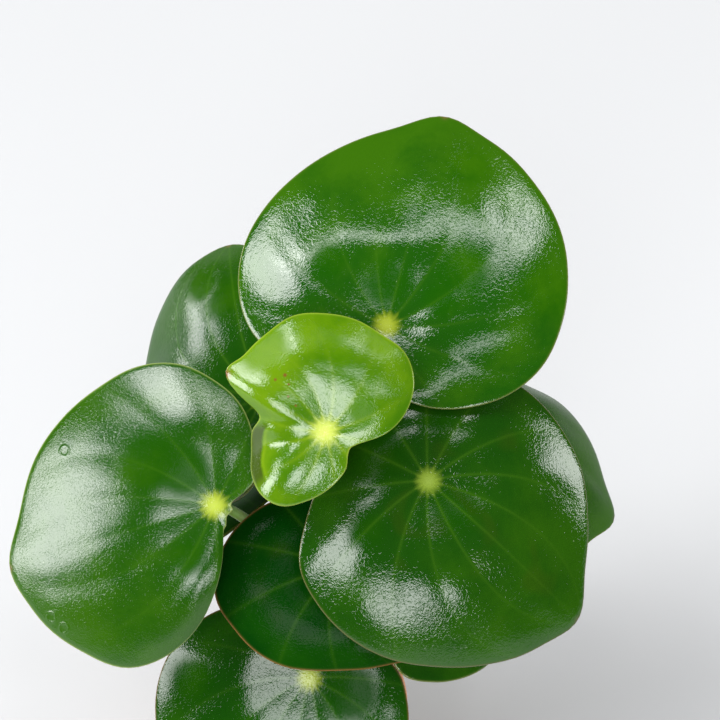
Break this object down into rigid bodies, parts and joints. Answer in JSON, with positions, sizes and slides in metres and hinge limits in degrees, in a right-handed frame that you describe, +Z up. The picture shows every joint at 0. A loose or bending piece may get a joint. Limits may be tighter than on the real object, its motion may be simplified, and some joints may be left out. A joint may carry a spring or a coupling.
{
  "type": "potted peperomia",
  "caption": "Small upright house plant with glossy shield-shaped leaves on slender stalks, standing in a plain tapered clay pot.",
  "frame": {"origin": "centre of the pot's flat underside", "axes": "+Z up out of the pot, -Y towards the side that the picture shows, +X to that viewer's right"},
  "size_m": [0.1698, 0.1486, 0.2185],
  "materials": {
    "clay": "matte unglazed terracotta, slightly mottled",
    "soil": "matte loose dark potting mix",
    "stem": "satin, fleshy green-brown",
    "stalk": "satin, smooth pale green",
    "blade": "gloss, deep green with paler veins and a yellow-green seat",
    "young_blade": "gloss, yellow-green with pale veins"
  },
  "bodies": {
    "root": {"pot": "clay", "soil": "soil", "stem": "stem", "leaf_top_blade": "blade", "leaf_top_stalk": "stalk", "leaf_west_blade": "blade", "leaf_west_stalk": "stalk", "leaf_crown_blade": "young_blade", "leaf_crown_stalk": "stalk", "leaf_east_blade": "blade", "leaf_east_stalk": "stalk", "leaf_north_blade": "blade", "leaf_north_stalk": "stalk", "leaf_southeast_blade": "blade", "leaf_southeast_stalk": "stalk", "leaf_under_blade": "blade", "leaf_under_stalk": "stalk", "leaf_south_blade": "blade", "leaf_south_stalk": "stalk", "leaf_low_blade": "blade", "leaf_low_stalk": "stalk", "leaf_back_blade": "blade", "leaf_back_stalk": "stalk", "leaf_northeast_blade": "blade", "leaf_northeast_stalk": "stalk", "leaf_northwest_blade": "blade", "leaf_northwest_stalk": "stalk", "leaf_young_blade": "young_blade", "leaf_young_stalk": "stalk"}
  },
  "joints": []
}
